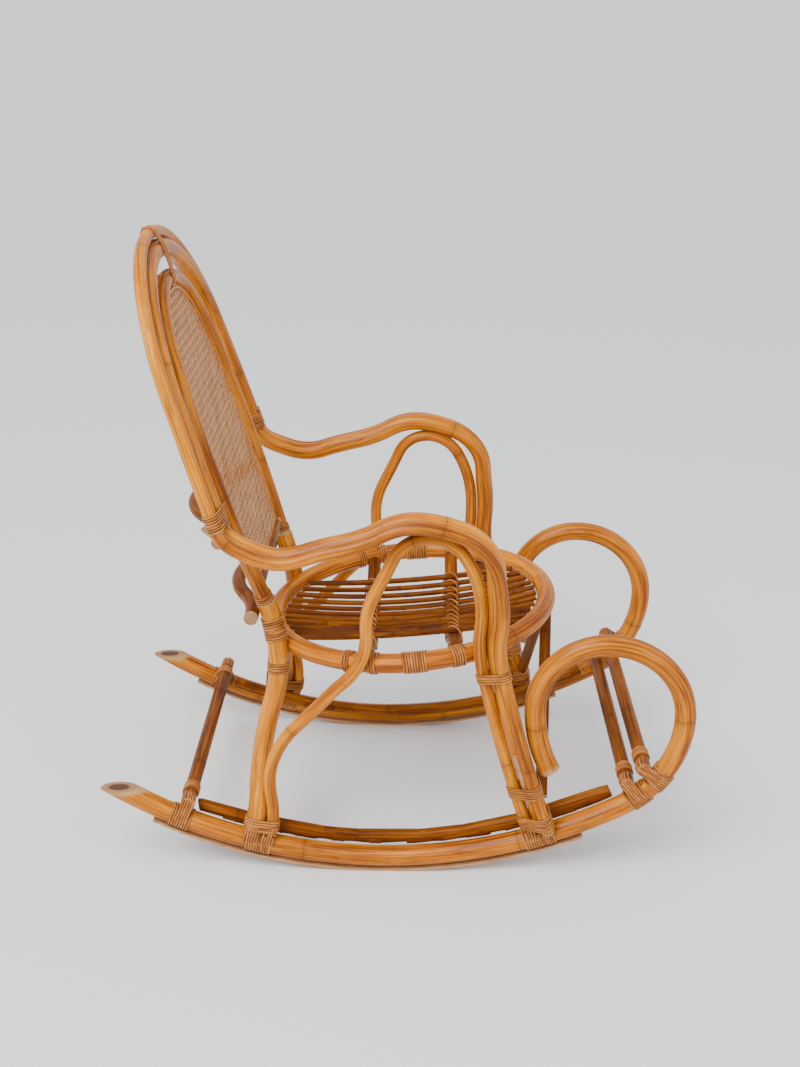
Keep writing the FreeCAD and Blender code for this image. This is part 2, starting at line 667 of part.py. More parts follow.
brace_rear_angle = -turn_to("leg_foot_x") + foot_turn(leg_r + brace_r + size("foot_gap"))
brace_front_angle = turn_to("arm_foot_x") - foot_turn(brace_offset)
brace_turn = math.degrees(brace_offset / (size("rim_radius") + rim_r + brace_r))
behind_arm = [point + beside(heading, backward, brace_offset)
              for point, heading in zip(arm.points, arm.headings)]
brace_lift = brace_r * math.sin(math.radians(foot_turn(leg_r + brace_r)))
brace = Route([
    foot(brace_rear_angle, brace_lift),
    at(size("brace_shin_x"), side, size("brace_shin_z")),
    at(size("brace_thigh_x"), side, size("brace_thigh_z")),
    rim_point(size("brace_rim_angle"), rim_r + brace_r + 2 * fit_gap),
    at(size("brace_rise_x"), size("brace_half"), size("brace_rise_z")),
    at(size("crest_x"), size("arm_half"), size("crest_z") - brace_offset),
    behind_arm[5],
    rim_point(size("arm_rim_angle") + brace_turn, rim_r + brace_r + 2 * fit_gap),
    behind_arm[7],
    foot(brace_front_angle, brace_lift),
], leg.headings[0], along={6: arm.headings[5], 7: arm.headings[6], 8: arm.headings[7], 9: arm.headings[8]})
parts["right_arm_brace"] = add_pole("right_arm_brace", brace.edges, "brace_dia")
parts["left_arm_brace"] = add_left("left_arm_brace", parts["right_arm_brace"])

# A stretch of pole, for what lies against it or is wound round it

SEARCH_STEPS = 4


class Pole:
    # a stretch of pole near a place: its centre line, how it bends, and a strand's distance from it

    def __init__(self, label, place):
        edges, self.radius = lines[label]
        target = Part.Vertex(place)
        edge = min(edges, key=lambda item: item.distToShape(target)[0])
        self.centre = edge.distToShape(target)[1][0][0]
        self.heading = edge.tangentAt(edge.Curve.parameter(self.centre))
        self.bend = Vector()
        if isinstance(edge.Curve, Part.Circle):
            inward = edge.Curve.Center - self.centre
            self.bend = inward / inward.dot(inward)
        self.reach = self.radius + fit_gap + strand / 2

    def centre_at(self, axis, place, height):
        # where the centre line passes this height above the place, along the axis
        along = (height - (self.centre - place).dot(axis)) / self.heading.dot(axis)
        return self.centre + self.heading * along + self.bend * (along ** 2 / 2)


def pole_at_height(label, place, height):
    # the stretch of a pole that passes this height, looked for from a place near it
    for _ in range(SEARCH_STEPS):
        pole = Pole(label, place)
        place = pole.centre_at(Vector(0, 0, 1), Vector(), height)
    return Pole(label, place)


# Bows that bulge out behind the back, lying against the rear of the posts

def add_bow(label, post, reach, dia):
    bow_r = size(dia) / 2
    seat = post.centre + beside(post.heading, -back_out, post.radius + bow_r + 2 * fit_gap)
    end = seat + Vector(0, -2 * bow_r, 0)
    apex = Vector(seat.x - reach, 0, seat.z)
    bow = Route([end, seat, apex, Vector(seat.x, -seat.y, seat.z), Vector(end.x, -end.y, end.z)])
    parts[label] = add_pole(label, bow.edges, dia)


upper_place = back(post_half(size("upper_bow_rise")), size("upper_bow_rise"))
add_bow("upper_back_bow", Pole("panel_hoop", upper_place), size("upper_bow_reach"), "upper_bow_dia")
lower_post = pole_at_height("right_rear_leg", leg.points[3], size("lower_bow_z"))
add_bow("lower_back_bow", lower_post, size("lower_bow_reach"), "lower_bow_dia")

# Props from under the rim's front and rear to the inner side of the feet

prop_r = size("prop_dia") / 2


def add_props(name, rim_angle, leg_label, leg_foot):
    # the square-cut ends just clear the rim above and the leg beside them
    top = rim_point(rim_angle, 0, -rim_r - 2 * fit_gap)
    top.y = -size("prop_top_half")
    stand = pole_at_height(leg_label, leg_foot, size("prop_foot_z"))
    slope = unit(top - stand.centre)
    inward = beside(stand.heading, slope, 1)
    bevel = prop_r * math.sqrt(1 - slope.dot(inward) ** 2)
    foot_end = stand.centre + inward * (stand.radius + 2 * fit_gap + bevel)
    top.z -= prop_r * math.sqrt(1 - slope.z ** 2)
    parts["right_%s_prop" % name] = add_rod("right_%s_prop" % name, top, foot_end, "prop_dia")
    parts["left_%s_prop" % name] = add_left("left_%s_prop" % name, parts["right_%s_prop" % name])


add_props("front", 0, "right_arm", arm.points[8])
add_props("rear", 180, "right_rear_leg", leg.points[0])

# A split peg in the groove between the arm pole and its trim on the right front leg

peg_r = size("peg_dia") / 2


def groove(height):
    # the point behind the two poles that is equally close to both
    arm_pole = pole_at_height("right_arm", arm.points[8], height)
    trim_pole = pole_at_height("right_arm_trim", trim.points[8], height)
    between = trim_pole.centre - arm_pole.centre
    arm_reach = arm_r + peg_r + 4 * fit_gap
    trim_reach = trim_r + peg_r + 4 * fit_gap
    share = (arm_reach ** 2 - trim_reach ** 2 + between.dot(between)) / (2 * between.dot(between))
    out = math.sqrt(arm_reach ** 2 - share ** 2 * between.dot(between))
    return arm_pole.centre + between * share + beside(unit(between), backward, out)


parts["right_leg_peg"] = add_rod("right_leg_peg", groove(size("peg_low_z")),
                                 groove(size("peg_low_z") + size("peg_length")), "peg_dia")

# Cane bindings: a strand wound in close turns round one pole or a bunch of poles

pitch = size("strand_pitch")
QUARTER = math.pi / 2


def winding(labels, place, turns):
    # the strand's edges; the poles of a bunch are named in order round it
    poles = [Pole(label, place) for label in labels]
    axis = poles[0].heading
    across = unit(axis.cross(Vector(1, 0, 0) if abs(axis.y) > abs(axis.x) else Vector(0, 1, 0)))
    upward = axis.cross(across)

    def flat(pole):
        spot = pole.centre_at(axis, place, 0) - place
        return complex(spot.dot(across), spot.dot(upward))

    area = sum((flat(a).conjugate() * flat(b)).imag for a, b in zip(poles, poles[1:] + poles[:1]))
    if area < 0:
        poles.reverse()
    steps = [flat(b) - flat(a) for a, b in zip(poles, poles[1:] + poles[:1])]
    leaves = [0.0]
    if len(poles) > 1:
        leans = [math.asin((a.reach - b.reach) / abs(step))
                 for a, b, step in zip(poles, poles[1:] + poles[:1], steps)]
        leaves = [cmath.phase(step) - QUARTER + lean for step, lean in zip(steps, leans)]

    # one loop as stations: pole, angle round it, and the way gone
    loop = []
    gone = 0.0
    for index, pole in enumerate(poles):
        sweep = (leaves[index] - leaves[index - 1]) % (2 * math.pi) or 2 * math.pi
        pieces = math.ceil(sweep / QUARTER - STRAIGHT)
        for piece in range(pieces + 1):
            turn = sweep * piece / pieces
            loop.append((pole, leaves[index - 1] + turn, gone + turn * pole.reach))
        ahead_reach = poles[(index + 1) % len(poles)].reach
        gone += sweep * pole.reach + math.sqrt(abs(steps[index]) ** 2 - (pole.reach - ahead_reach) ** 2)
    if len(poles) == 1:
        loop.pop()
    track = [(pole, angle, way + gone * turn) for turn in range(turns) for pole, angle, way in loop]
    track.append((loop[0][0], loop[0][1], gone * turns))

    points = []
    headings = []
    for pole, angle, way in track:
        centre = pole.centre_at(axis, place, (way / gone - turns / 2) * pitch)
        points.append(centre + (across * math.cos(angle) + upward * math.sin(angle)) * pole.reach)
        lead = pole.heading * (pitch / gone / pole.heading.dot(axis))
        headings.append(unit(upward * math.cos(angle) - across * math.sin(angle) + lead))
    straights = [a[0] is not b[0] for a, b in zip(track, track[1:])]
    for index, straight in enumerate(straights):
        if straight:
            headings[index] = headings[index + 1] = unit(points[index + 1] - points[index])

    edges = []
    for index, straight in enumerate(straights):
        if straight:
            edges.append(Part.LineSegment(points[index], points[index + 1]).toShape())
        else:
            edges += biarc(points[index], headings[index], points[index + 1], headings[index + 1])
    return with_tails(edges, points, headings), gone


def with_tails(edges, points, headings):
    # the strand runs straight for its own thickness at both ends
    first = Part.LineSegment(points[0] - headings[0] * strand, points[0]).toShape()
    last = Part.LineSegment(points[-1], points[-1] + headings[-1] * strand).toShape()
    return [first] + edges + [last]


def tube(edges):
    first = edges[0]
    ring = Part.Circle(first.valueAt(first.FirstParameter), first.tangentAt(first.FirstParameter), strand / 2)
    return Part.Wire(edges).makePipeShell([Part.Wire(ring.toShape())], True, False)


def least_gap(edges, loop):
    # the least clear space between stretches of a strand half a loop or more apart
    spots = []
    gone = 0.0
    for edge in edges:
        for share in (0, 0.25, 0.5, 0.75):
            spot = edge.valueAt(edge.FirstParameter + (edge.LastParameter - edge.FirstParameter) * share)
            spots.append((gone + edge.Length * share, spot))
        gone += edge.Length
    return min((b - a).Length for index, (way, a) in enumerate(spots)
               for far, b in spots[index + 1:] if far - way > loop / 2) - strand


def add_bindings(label, strands, mirrored=True):
    tubes = []
    for edges, loop in strands:
        tubes.append(tube(edges))
        print("%s: least gap %.2f mm" % (label, least_gap(edges, loop)))
    if mirrored:
        tubes += [item.mirror(Vector(), MIRROR) for item in tubes]
    bindings = doc.addObject("Part::Feature", label)
    bindings.Shape = Part.makeCompound(tubes)
    parts[label] = bindings


def stretcher_strands(stretcher, runner_place):
    # on the runner under a stretcher, and round the stretcher beside the runner
    inboard = parts[stretcher].Placement.Base
    inboard = Vector(inboard.x, -side + runner_r + 4 * pitch, inboard.z)
    return [winding(["right_runner"], runner_place, turns=8), winding([stretcher], inboard, turns=5)]


add_bindings("rear_stretcher_bindings",
             stretcher_strands("rear_stretcher", rocker(-turn_to("rear_stretcher_x"))))
add_bindings("front_stretcher_bindings",
             stretcher_strands("front_stretcher", sweep_point(size("front_stretcher_angle"), 0)))
add_bindings("toe_stretcher_bindings",
             stretcher_strands("toe_stretcher", sweep_point(size("toe_stretcher_angle"), 0)))

rear_foot_angle = (brace_rear_angle - turn_to("leg_foot_x")) / 2
rear_ankle = leg.points[0] + leg.headings[0] * (4 * pitch)
add_bindings("rear_foot_bindings", [
    winding(["right_runner"], rocker(rear_foot_angle), turns=10),
    winding(["right_rear_leg", "right_arm_brace"], rear_ankle, turns=5),
])
front_bunch = ["right_arm", "right_arm_trim", "right_arm_brace"]
front_foot_angle = (brace_front_angle + turn_to("arm_foot_x")) / 2
front_ankle = arm.points[8] - arm.headings[8] * (4.5 * pitch)
add_bindings("front_foot_bindings", [
    winding(["right_runner"], rocker(front_foot_angle), turns=12),
    winding(front_bunch, front_ankle, turns=6),
])
calf = pole_at_height("right_arm", arm.points[8], size("leg_tie_z"))
add_bindings("front_leg_bindings", [winding(front_bunch, calf.centre, turns=5)])
thigh = pole_at_height("right_arm", arm.points[6], size("rim_tie_z"))
add_bindings("front_rim_bindings", [winding(front_bunch, thigh.centre, turns=4)])

rim_reach = math.radians(1) * size("rim_radius")
brace_tie_turn = (brace_r + 2.5 * pitch) / rim_reach
add_bindings("rim_brace_bindings", [
    winding(["seat_rim"], rim_point(size("brace_rim_angle") - brace_tie_turn), turns=3),
    winding(["seat_rim"], rim_point(size("brace_rim_angle") + brace_tie_turn), turns=3),
])
add_bindings("rim_bindings", [
    winding(["seat_rim"], rim_point(size("side_tie_angle")), turns=9),
    winding(["seat_rim"], rim_point(size("crossbar_tie_angle")), turns=5),
])
leg_step = leg.headings[2] * (rim_r + 3 * pitch)
add_bindings("rear_rim_bindings", [
    winding(["right_rear_leg"], leg.points[2] + leg_step, turns=4),
    winding(["right_rear_leg"], leg.points[2] - leg_step, turns=4),
])
bow_step = lower_post.heading * (size("lower_bow_dia") / 2 + 3 * pitch)
add_bindings("lower_bow_bindings", [winding(["right_rear_leg"], lower_post.centre - bow_step, turns=4)])
add_bindings("panel_corner_bindings", [winding(["panel_hoop"], back(size("post_half"), 2 * pitch), turns=3)])
splice = back_hoop.points[0] + back_up * (2.7 * pitch)
add_bindings("splice_bindings", [winding(["back_hoop", "back_trim"], splice, turns=7)])
apex = back_hoop.points[len(hoop_spots) - 1]
apex_bunch = ["back_trim", "back_hoop", "panel_hoop", "back_hoop"]
add_bindings("apex_binding", [winding(apex_bunch, apex, turns=5)], mirrored=False)


def stitching(x):
    # one strand along a crossbar: slantwise over each rod, down between rods and back under the bar
    circle = crossbar_line(x).Curve
    reach = crossbar_r + strand / 2 + size("stitch_lift")
    over = rod_r + strand / 2 + size("stitch_lift")
    points = []
    along = {}
    for y in rod_places:
        before = y - size("rod_pitch") / 2
        after = y + size("rod_pitch") / 2
        heights = [circle.Center.z - math.sqrt(circle.Radius ** 2 - place ** 2) for place in (before, after)]
        along[len(points)] = Vector(0, 0, 1)
        points.append(at(x - reach, before, heights[0]))
        points.append(at(x, y, rod_height(x, y) + over))
        along[len(points)] = Vector(0, 0, -1)
        points.append(at(x + reach, after, heights[1]))
        along[len(points)] = backward
        points.append(at(x, after, heights[1] - reach))
    along.pop(len(points) - 1)
    route = Route(points[:-1], along=along)
    return with_tails(route.edges, route.points, route.headings), 4 * reach


add_bindings("rod_stitching", [stitching(x) for x in crossbars.values()], mirrored=False)

# Checks, then one file for each piece

doc.recompute()
for thing in doc.Objects:
    if "Invalid" in thing.State or "Error" in thing.State:
        raise RuntimeError("%s: %s" % (thing.Label, thing.State))
for label, piece in parts.items():
    if piece.Shape.isNull() or not piece.Shape.isValid() or not piece.Shape.Solids:
        raise RuntimeError("%s has no sound solid" % label)

os.makedirs("parts", exist_ok=True)
for label, piece in parts.items():
    piece.Label = label
    piece.Shape.exportStep("parts/%s.step" % label)
print("%d pieces" % len(parts))
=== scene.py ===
import bisect, bmesh, bpy, heapq, math, random
from mathutils import Matrix, Vector, geometry, noise
from statistics import median


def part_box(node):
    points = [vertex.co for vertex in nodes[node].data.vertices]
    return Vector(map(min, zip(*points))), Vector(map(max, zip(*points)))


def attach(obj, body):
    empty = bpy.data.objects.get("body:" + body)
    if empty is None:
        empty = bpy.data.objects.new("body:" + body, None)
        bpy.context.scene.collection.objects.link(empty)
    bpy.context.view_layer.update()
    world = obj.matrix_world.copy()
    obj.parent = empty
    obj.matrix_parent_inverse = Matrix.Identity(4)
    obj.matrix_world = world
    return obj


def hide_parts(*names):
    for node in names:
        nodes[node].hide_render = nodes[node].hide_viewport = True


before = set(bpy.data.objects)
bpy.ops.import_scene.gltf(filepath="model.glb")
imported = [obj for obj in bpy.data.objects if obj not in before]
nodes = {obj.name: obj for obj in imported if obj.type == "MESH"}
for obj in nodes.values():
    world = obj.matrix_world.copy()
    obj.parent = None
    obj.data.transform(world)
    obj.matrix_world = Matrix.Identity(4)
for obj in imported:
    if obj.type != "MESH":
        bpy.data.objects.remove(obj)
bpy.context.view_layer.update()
print("frame:", len(nodes), "nodes")


# Shader maths: a wrapped socket adds Math nodes when it is used in an expression.
class Sock:
    def __init__(self, finish, socket):
        self.finish = finish
        self.socket = socket

    def maths(self, operation, a, b):
        return self.finish.node("ShaderNodeMath", {"operation": operation}, {0: a, 1: b})

    def __add__(self, other):
        return self.maths("ADD", self, other)

    def __radd__(self, other):
        return self.maths("ADD", other, self)

    def __sub__(self, other):
        return self.maths("SUBTRACT", self, other)

    def __rsub__(self, other):
        return self.maths("SUBTRACT", other, self)

    def __mul__(self, other):
        return self.maths("MULTIPLY", self, other)

    def __rmul__(self, other):
        return self.maths("MULTIPLY", other, self)


class Finish:
    def __init__(self, name):
        self.material = bpy.data.materials.new(name)
        self.material.use_nodes = True
        self.tree = self.material.node_tree
        self.tree.nodes.clear()

    def node(self, kind, settings=None, sockets=None, out=0):
        made = self.tree.nodes.new(kind)
        for name, value in (settings or {}).items():
            if name == "stops":  # a ramp's stops, first to last
                ramp = made.color_ramp
                for element, (place, colour) in zip(ramp.elements, (value[0], value[-1])):
                    element.position = place
                    element.color = (*colour, 1)
                for place, colour in value[1:-1]:
                    ramp.elements.new(place).color = (*colour, 1)
            else:
                setattr(made, name, value)
        for name, value in (sockets or {}).items():
            if isinstance(value, Sock):
                self.tree.links.new(value.socket, made.inputs[name])
            else:
                made.inputs[name].default_value = value
        return Sock(self, made.outputs[out]) if made.outputs else made

    def attribute(self, name, out):
        return self.node("ShaderNodeAttribute", {"attribute_name": name}, None, out)

    def objectPlace(self):
        return self.node("ShaderNodeTexCoord", None, None, 3)

    def stretched(self, vector, scale):
        return self.node("ShaderNodeVectorMath", {"operation": "MULTIPLY"}, {0: vector, 1: scale})

    def length(self, vector):
        return self.node("ShaderNodeVectorMath", {"operation": "LENGTH"}, {0: vector}, 1)

    def clouds(self, vector, scale, detail=3.0, rough=0.55):
        return self.node("ShaderNodeTexNoise", None, {"Vector": self.stretched(vector, scale), "Scale": 1.0,
                                                      "Detail": detail, "Roughness": rough})

    def ramp(self, stops, factor):
        return self.node("ShaderNodeValToRGB", {"stops": stops}, {"Fac": factor})

    def between(self, value, low, high, start=0.0, end=1.0):
        return self.node("ShaderNodeMapRange", {"interpolation_type": "SMOOTHSTEP"},
                         {"Value": value, "From Min": low, "From Max": high, "To Min": start, "To Max": end})

    def mixed(self, factor, a, b):
        return self.node("ShaderNodeMix", {"data_type": "RGBA"}, {0: factor, 6: a, 7: b}, 2)

    def bump(self, height, strength, distance):
        return self.node("ShaderNodeBump", None, {"Height": height, "Strength": strength, "Distance": distance})

    def surface(self, sockets):
        shader = self.node("ShaderNodeBsdfPrincipled", None, sockets)
        self.node("ShaderNodeOutputMaterial", None, {"Surface": shader})
        return self.material


# Rattan: long streaks, faint growth rings, specks and a satin lacquer, all laid along the pole.
rattan = {"broad": (38, 38, 6), "streak": (230, 230, 6), "fibre": (1400, 1400, 24),  # repeats in a metre
          "stain": (85, 85, 16), "dash": (420, 420, 22), "speck": (380, 380, 130),
          "ring": (0.0024, 0.0004), "ringShade": 0.014, "worn": (0.46, 0.255, 0.105, 1),
          "coatRough": 0.14, "coatIor": 1.4, "bump": (0.4, 0.0009)}


def rattanFinish(name, look):
    f = Finish(name)
    co = f.attribute("poleCo", 1)  # across, across and along the pole, in metres
    tone = f.attribute("poleTone", 2)
    joint = f.attribute("poleNode", 2)  # distance from the nearest growth ring
    bare = f.attribute("poleBare", 2)  # 1 where the lacquer is worn off an end
    broad = f.clouds(co, rattan["broad"], 3)
    streak = f.clouds(co, rattan["streak"], 4, 0.6)
    fibre = f.clouds(co, rattan["fibre"], 2)
    blend = (broad - 0.5) * 1.1 + (streak - 0.5) * 1.5 + (fibre - 0.5) * 0.4 + tone + 0.5
    colour = f.ramp(look["stops"], blend)
    stain = f.between(f.clouds(co, rattan["stain"], 5, 0.7), 0.52, 0.72)
    dash = f.between(f.clouds(co, rattan["dash"], 2), 0.62, 0.72)
    speck = f.between(f.clouds(co, rattan["speck"], 2), 0.70, 0.76)
    shade = f.between(joint, rattan["ringShade"], 0.0)
    ring = f.between(joint, *rattan["ring"])
    for mask, share in ((stain, look["stain"]), (dash, 0.5), (speck, 0.8), (shade, 0.22), (ring, 0.4)):
        colour = f.mixed(mask * share, colour, (*look["dark"], 1))
    worn = f.between(bare + (broad - 0.5) * 1.4 + (fibre - 0.5) * 1.2, 0.35, 0.65)
    colour = f.mixed(worn, colour, rattan["worn"])
    height = fibre * 0.3 + streak * 0.5 - ring * 0.5 - speck * 0.4
    rough = f.between(streak + speck * 0.3, 0.3, 0.8, *look["rough"])
    return f.surface({"Base Color": colour, "Roughness": rough + worn * 0.4,
                      "Specular IOR Level": look["gloss"], "Coat Weight": look["coat"] * (1 - worn),
                      "Coat Roughness": rattan["coatRough"], "Coat IOR": rattan["coatIor"],
                      "Normal": f.bump(height, *rattan["bump"])})


# Raw ends: pith with the dark dots of the fibres, and painted shade in the middle of a hollowed end, whose cap
# is flat.
pith = {"dots": (900, 900, 0), "grain": (160, 160, 40), "ragged": 0.004, "bump": (0.4, 0.0006),
        "pale": (0.36, 0.19, 0.08, 1), "dot": (0.16, 0.07, 0.025, 1), "brown": (0.22, 0.10, 0.04, 1),
        "hollowShade": (0.075, 0.026, 0.016, 1)}


def endFinish(name, hollow):
    f = Finish(name)
    co = f.attribute("poleCo", 1)
    spread = f.stretched(co, pith["dots"])
    dots = f.node("ShaderNodeTexVoronoi", {"feature": "F1"}, {"Vector": spread, "Scale": 1.0})
    grain = f.clouds(co, pith["grain"], 4)
    colour = f.mixed(f.between(dots, 0.5, 0.15), pith["pale"], pith["dot"])
    colour = f.mixed(f.between(grain, 0.45, 0.7) * 0.6, colour, pith["brown"])
    if hollow:
        reach = f.length(f.stretched(co, (1, 1, 0)))
        # painted shade: the dark disc stands for the shade inside the hollow, which the flat cap does not model
        hollowShade = f.between(reach + (grain - 0.5) * pith["ragged"], hollow, hollow * 0.8)
        colour = f.mixed(hollowShade, colour, pith["hollowShade"])
    return f.surface({"Base Color": colour, "Roughness": 0.8, "Normal": f.bump(dots, *pith["bump"])})


# Flat cane: fine fibres along the strand, painted shade along its edges where it turns down between strands, a
# tone for each turn.
flatCane = {"fibre": (1900, 1900, 34), "blotch": (130, 130, 30), "speck": (800, 800, 240), "gloss": 0.18,
            "coatRough": 0.2, "bump": (0.4, 0.0005)}


def caneFinish(name, look):
    f = Finish(name)
    co = f.attribute("poleCo", 1)
    tone = f.attribute("poleTone", 2)
    fibre = f.clouds(co, flatCane["fibre"], 3)
    blotch = f.clouds(co, flatCane["blotch"], 3)
    blend = (fibre - 0.5) * 0.9 + (blotch - 0.5) * 1.2 + tone + 0.5
    colour = f.ramp(look["stops"], blend)
    speck = f.between(f.clouds(co, flatCane["speck"], 2), 0.68, 0.76)
    across = f.length(f.stretched(co, (1, 0, 0)))
    # rim: painted shade along the strand's edges, where the gaps between strands fall dark
    rim = f.between(across, look["edge"] * 0.62, look["edge"])
    for mask, share in ((speck, 0.6), (rim, 0.75)):
        colour = f.mixed(mask * share, colour, (*look["dark"], 1))
    return f.surface({"Base Color": colour, "Roughness": f.between(fibre, 0.25, 0.8, *look["rough"]),
                      "Specular IOR Level": flatCane["gloss"], "Coat Weight": look["coat"],
                      "Coat Roughness": flatCane["coatRough"], "Normal": f.bump(fibre, *flatCane["bump"])})


golden = rattanFinish("goldenRattan", {
    "stops": ((0.18, (0.20, 0.044, 0.001)), (0.40, (0.40, 0.110, 0.001)), (0.58, (0.55, 0.172, 0.002)),
              (0.85, (0.72, 0.27, 0.006))),
    "dark": (0.09, 0.018, 0.001), "stain": 0.5, "rough": (0.26, 0.44), "coat": 0.12, "gloss": 0.16})
orange = rattanFinish("orangeRattan", {
    "stops": ((0.18, (0.20, 0.040, 0.001)), (0.40, (0.39, 0.100, 0.001)), (0.58, (0.54, 0.155, 0.001)),
              (0.85, (0.70, 0.25, 0.004))),
    "dark": (0.09, 0.017, 0.001), "stain": 0.5, "rough": (0.26, 0.44), "coat": 0.12, "gloss": 0.16})
brown = rattanFinish("brownRattan", {
    "stops": ((0.18, (0.070, 0.015, 0.001)), (0.40, (0.15, 0.036, 0.001)), (0.60, (0.21, 0.055, 0.002)),
              (0.85, (0.32, 0.100, 0.005))),
    "dark": (0.030, 0.008, 0.003), "stain": 0.5, "rough": (0.32, 0.52), "coat": 0.03, "gloss": 0.07})
rodBrown = rattanFinish("rodRattan", {
    "stops": ((0.18, (0.060, 0.012, 0.001)), (0.40, (0.13, 0.030, 0.001)), (0.60, (0.19, 0.048, 0.001)),
              (0.85, (0.30, 0.090, 0.004))),
    "dark": (0.024, 0.006, 0.002), "stain": 0.5, "rough": (0.32, 0.52), "coat": 0.03, "gloss": 0.07})
rawEnd = endFinish("rattanEnd", 0.0)
hollowEnd = endFinish("hollowRattanEnd", 0.011)
bindingCane = caneFinish("bindingCane", {
    "stops": ((0.20, (0.17, 0.046, 0.007)), (0.42, (0.34, 0.108, 0.018)), (0.62, (0.48, 0.175, 0.034)),
              (0.85, (0.66, 0.29, 0.075))),
    "dark": (0.05, 0.012, 0.003), "edge": 0.0020, "rough": (0.34, 0.55), "coat": 0.1})
panelCane = caneFinish("panelCane", {
    "stops": ((0.20, (0.36, 0.130, 0.034)), (0.42, (0.60, 0.250, 0.075)), (0.62, (0.76, 0.350, 0.115)),
              (0.85, (0.88, 0.48, 0.18))),
    "dark": (0.13, 0.042, 0.012), "edge": 0.0015, "rough": (0.42, 0.6), "coat": 0.05})
print("finishes")


# A smooth line through points, walked by its length.
class Line:
    def __init__(self, points, closed=False):
        self.points = points + points[:3] if closed else points
        self.marks = [0.0]
        for a, b in zip(self.points, self.points[1:]):
            self.marks.append(self.marks[-1] + (b - a).length)
        self.total = self.marks[len(points)] if closed else self.marks[-1]
        self.closed = closed
        steps = [(b - a) / (t - s) for a, b, s, t in
                 zip(self.points, self.points[1:], self.marks, self.marks[1:])]
        self.slopes = [(a + b) / 2 for a, b in zip(steps, steps[1:])]
        if self.slopes:
            self.slopes = [2 * steps[0] - self.slopes[0], *self.slopes, 2 * steps[-1] - self.slopes[-1]]
        else:
            self.slopes = [steps[0], steps[0]]
        if closed:
            self.slopes[0] = self.slopes[len(points)]

    def at(self, s):
        if self.closed:
            s = s % self.total
        i = min(max(bisect.bisect_right(self.marks, s) - 1, 0), len(self.marks) - 2)
        span = self.marks[i + 1] - self.marks[i]
        u = (s - self.marks[i]) / span
        a, b = self.points[i], self.points[i + 1]
        m, n = self.slopes[i] * span, self.slopes[i + 1] * span
        if u < 0:
            return a + m * u, m.normalized()
        if u > 1:
            return b + n * (u - 1), n.normalized()
        point = a * (2 * u ** 3 - 3 * u ** 2 + 1) + m * (u ** 3 - 2 * u ** 2 + u)
        point += b * (3 * u ** 2 - 2 * u ** 3) + n * (u ** 3 - u ** 2)
        heading = (b - a) * (6 * u - 6 * u ** 2) + m * (3 * u ** 2 - 4 * u + 1) + n * (3 * u ** 2 - 2 * u)
        return point, heading.normalized()


# The bars of a CAD node: each bar's centre line, and the planes of its ends.
reading = {"merge": 1e-6, "flat": 0.01, "slack": 0.06, "holeWall": 0.05, "station": 0.3, "spokes": 24}


def readBars(name, radius, closed=False):
    bm = bmesh.new()
    bm.from_mesh(nodes[name].data)
    bmesh.ops.remove_doubles(bm, verts=bm.verts, dist=reading["merge"])
    bmesh.ops.dissolve_limit(bm, angle_limit=reading["flat"], verts=bm.verts, edges=bm.edges)
    ends, dropped = [], []
    for face in bm.faces:
        middle = face.calc_center_bounds()
        reach = [(v.co - middle).length for v in face.verts]
        oval = math.pi * min(reach) * max(reach)
        asWide = abs(min(reach) / radius - 1) < reading["slack"]
        if asWide and abs(face.calc_area() / oval - 1) < reading["slack"]:  # a cut, square or slanted
            ends.append((face.calc_center_median(), face.normal.copy()))
            dropped.append(face)
        elif face.calc_area() < reading["holeWall"] * radius ** 2:  # a nail hole's wall
            dropped.append(face)
    bmesh.ops.delete(bm, geom=dropped, context="FACES_ONLY")
    bmesh.ops.delete(bm, geom=[v for v in bm.verts if not v.link_faces], context="VERTS")
    bm.normal_update()
    bm.verts.index_update()
    bm.verts.ensure_lookup_table()
    spots = [v.co - v.normal * radius for v in bm.verts]
    bars = []
    waiting = set() if closed else set(range(len(spots)))
    while waiting:
        first = walk(bm, spots, min(waiting))
        waiting -= set(first)
        reach = walk(bm, spots, max(first, key=first.get))
        points = stations(spots, reach, reading["station"] * radius)
        if len(points) < 2:  # a scrap left where small faces were dropped
            continue
        mine = [min(ends, key=lambda end: (end[0] - tip).length) for tip in (points[0], points[-1])]
        bars.append((Line(pastCuts(points, mine, radius)), mine))
    bm.free()
    return [(Line(roundRing(spots), True), [])] if closed else bars


def walk(bm, spots, start):  # how far each vertex of a bar lies from the first
    far = {start: 0.0}
    queue = [(0.0, start)]
    while queue:
        gone, here = heapq.heappop(queue)
        if gone > far[here]:
            continue
        for edge in bm.verts[here].link_edges:
            there = edge.other_vert(bm.verts[here]).index
            reach = gone + (spots[there] - spots[here]).length
            if reach < far.get(there, math.inf):
                far[there] = reach
                heapq.heappush(queue, (reach, there))
    return far


def stations(spots, reach, width):  # the middle of each clump of points along a bar
    clumps, clump, start = [], [], 0.0
    for index in sorted(reach, key=reach.get):
        if clump and reach[index] - start > width:
            clumps.append(clump)
            clump = []
        if not clump:
            start = reach[index]
        clump.append(spots[index])
    clumps.append(clump)
    points = [Vector(median(p[k] for p in clump) for k in range(3)) for clump in clumps]
    kept = points[:1]
    for point in points[1:]:
        if (point - kept[-1]).length > width:
            kept.append(point)
    return kept


def cutLength(point, normal, points, radius):  # how far a slanted cut reaches along the bar from its middle
    inner = min((p for p in points if (p - point).length > 4 * radius), key=lambda p: (p - point).length)
    lean = abs((point - inner).normalized().dot(normal))
    return radius * math.sqrt(max(1 / lean ** 2 - 1, 0.0))


